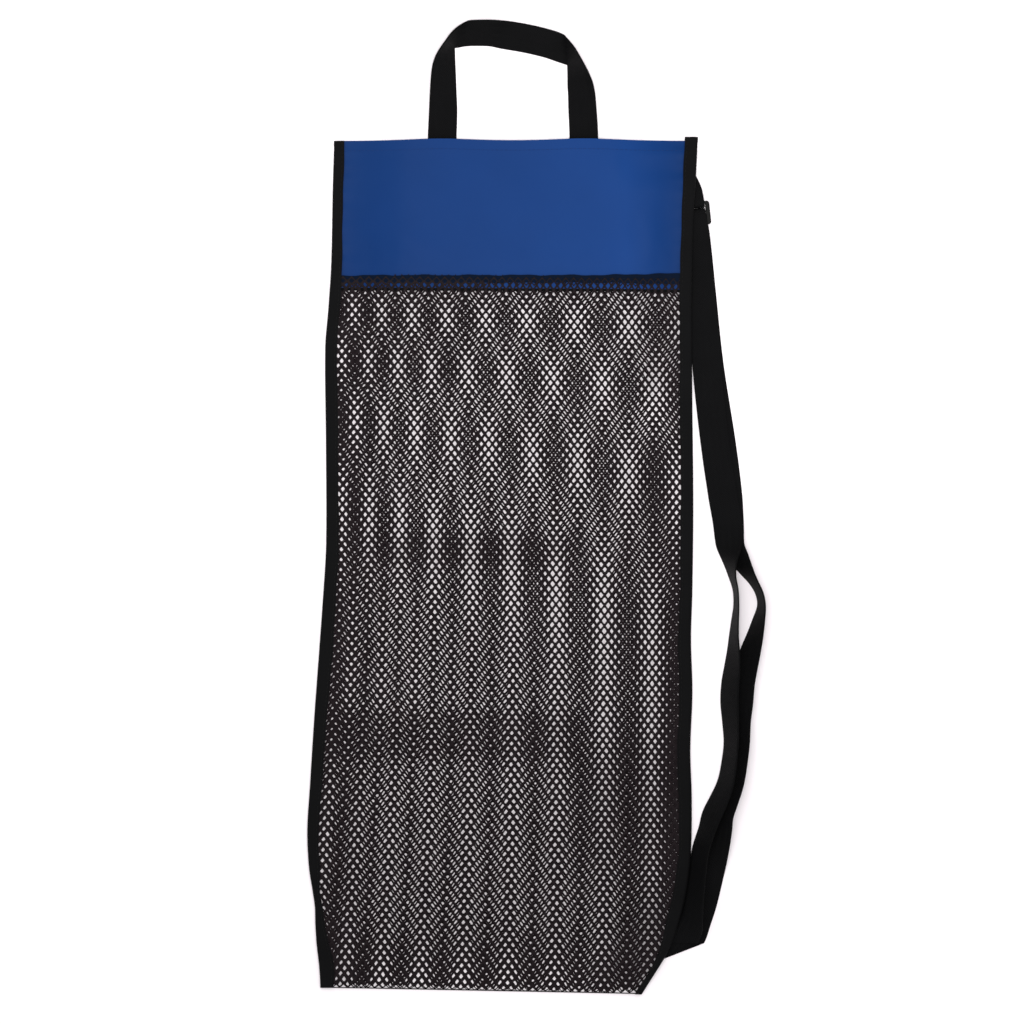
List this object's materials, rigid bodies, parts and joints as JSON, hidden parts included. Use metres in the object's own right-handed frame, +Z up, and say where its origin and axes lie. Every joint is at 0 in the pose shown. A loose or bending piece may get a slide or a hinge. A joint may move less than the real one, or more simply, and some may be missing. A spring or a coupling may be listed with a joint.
{
  "type": "mesh bag",
  "caption": "Flat open-net carry bag with a coloured cloth header, taped sides, a short webbing handle and an adjustable shoulder strap, lying on its back.",
  "frame": {"origin": "on the surface that the bag lies on, under the middle of the back net", "axes": "+X towards the side with the shoulder strap, +Y towards the mouth and the handle, +Z up from the surface"},
  "size_m": [0.3986, 0.8479, 0.025],
  "materials": {
    "net": "knitted polyester net, soft",
    "header": "coated woven polyester, slight sheen",
    "tape": "woven tape, matte",
    "webbing": "woven polypropylene webbing, matte",
    "plastic": "moulded, satin"
  },
  "bodies": {
    "root": {"back_net": "net", "front_net": "net", "back_header": "header", "front_header": "header", "left_binding": "tape", "right_binding": "tape", "handle": "webbing", "strap_tab": "webbing", "slider": "plastic", "strap_front": "webbing", "strap_back": "webbing"}
  },
  "joints": []
}
